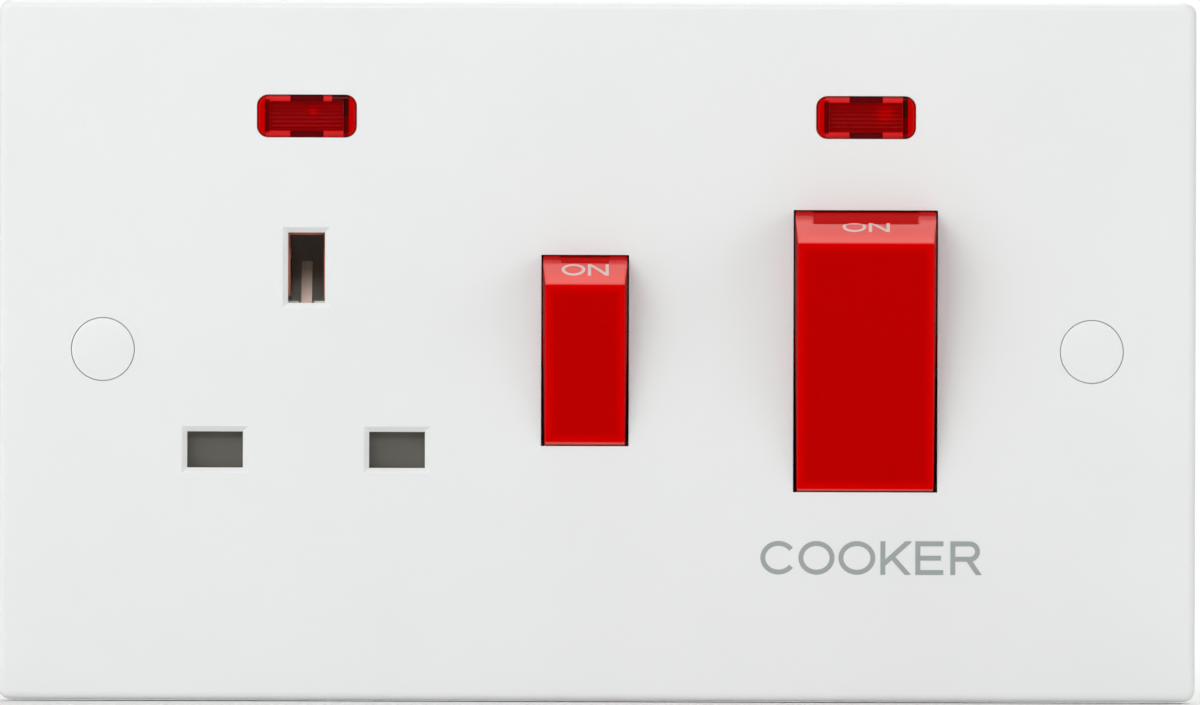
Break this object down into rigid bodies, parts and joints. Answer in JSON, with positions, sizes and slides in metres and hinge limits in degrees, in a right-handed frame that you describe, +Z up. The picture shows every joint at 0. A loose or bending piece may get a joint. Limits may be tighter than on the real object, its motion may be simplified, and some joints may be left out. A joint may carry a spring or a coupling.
{
  "type": "cooker control unit",
  "caption": "Flush two-gang wall plate with a large double-pole cooker rocker, a small rocker, shuttered three-pin socket outlet and red neon lenses.",
  "frame": {"origin": "centre of the plate's rear rim, in the wall's plane, midway between the two fixings", "axes": "+X to the right seen from the front, +Y into the wall, +Z up"},
  "size_m": [0.146, 0.0323, 0.0854],
  "materials": {
    "white_moulding": "moulded, smooth, slightly glossy",
    "base_moulding": "moulded, matte",
    "red_moulding": "moulded, smooth, slightly glossy",
    "nylon": "moulded, matte",
    "spring_steel": "drawn wire",
    "brass": "pressed and milled",
    "plated_steel": "zinc plated",
    "grey_moulding": "moulded, matte",
    "red_lens": "moulded, translucent, ribbed",
    "lamp_glass": "blown, clear"
  },
  "bodies": {
    "housing": {"front_plate": "white_moulding", "left_screw_cap": "white_moulding", "right_screw_cap": "white_moulding", "base_moulding": "base_moulding", "shutter_spring": "spring_steel", "supply_live_terminal": "brass", "supply_neutral_terminal": "brass", "load_live_terminal": "brass", "load_neutral_terminal": "brass", "earth_terminal": "brass", "earth_contact": "brass", "live_link": "brass", "live_contact": "brass", "neutral_contact": "brass", "cooker_terminal_screws": "plated_steel", "earth_terminal_screws": "plated_steel", "base_screws": "plated_steel", "cooker_neon_lens": "red_lens", "socket_neon_lens": "red_lens", "cooker_neon_lamp": "lamp_glass", "socket_neon_lamp": "lamp_glass"},
    "cooker_switch": {"cooker_rocker": "red_moulding", "cooker_live_plunger": "nylon", "cooker_neutral_plunger": "nylon", "cooker_live_plunger_spring": "spring_steel", "cooker_neutral_plunger_spring": "spring_steel"},
    "cooker_live_see_saw": {"cooker_live_contact": "brass"},
    "cooker_neutral_see_saw": {"cooker_neutral_contact": "brass"},
    "socket_switch": {"socket_rocker": "red_moulding", "socket_plunger": "nylon", "socket_plunger_spring": "spring_steel"},
    "socket_see_saw": {"socket_switch_contact": "brass"},
    "shutter": {"socket_shutter": "grey_moulding"}
  },
  "joints": [
    {"name": "cooker_rocker_tilt", "type": "hinge", "parent": "housing", "child": "cooker_switch", "pos_m": [0.0327, -0.00563, 0], "axis": [1, 0, 0], "range_deg": [-25.8, 0]},
    {"name": "cooker_live_see_saw_tilt", "type": "hinge", "parent": "housing", "child": "cooker_live_see_saw", "pos_m": [0.0282, 0.0076, 0], "axis": [1, 0, 0], "range_deg": [0, 20]},
    {"name": "cooker_neutral_see_saw_tilt", "type": "hinge", "parent": "housing", "child": "cooker_neutral_see_saw", "pos_m": [0.0372, 0.0076, 0], "axis": [1, 0, 0], "range_deg": [0, 20]},
    {"name": "socket_rocker_tilt", "type": "hinge", "parent": "housing", "child": "socket_switch", "pos_m": [-0.0015, -0.00613, 0], "axis": [1, 0, 0], "range_deg": [-26.8, 0]},
    {"name": "socket_see_saw_tilt", "type": "hinge", "parent": "housing", "child": "socket_see_saw", "pos_m": [-0.0015, 0.0066, 0], "axis": [1, 0, 0], "range_deg": [0, 20]},
    {"name": "shutter_slide", "type": "slide", "parent": "housing", "child": "shutter", "axis": [0, 0, -1], "range_m": [0, 0.0048], "stiffness_N_per_m": 200, "springref_m": -0.004, "deforming": ["shutter_spring"]}
  ],
  "couplings": [
    {"joint": "cooker_live_see_saw_tilt", "follows": "cooker_rocker_tilt", "ratio": -0.775},
    {"joint": "cooker_neutral_see_saw_tilt", "follows": "cooker_rocker_tilt", "ratio": -0.775},
    {"joint": "socket_see_saw_tilt", "follows": "socket_rocker_tilt", "ratio": -0.746}
  ]
}
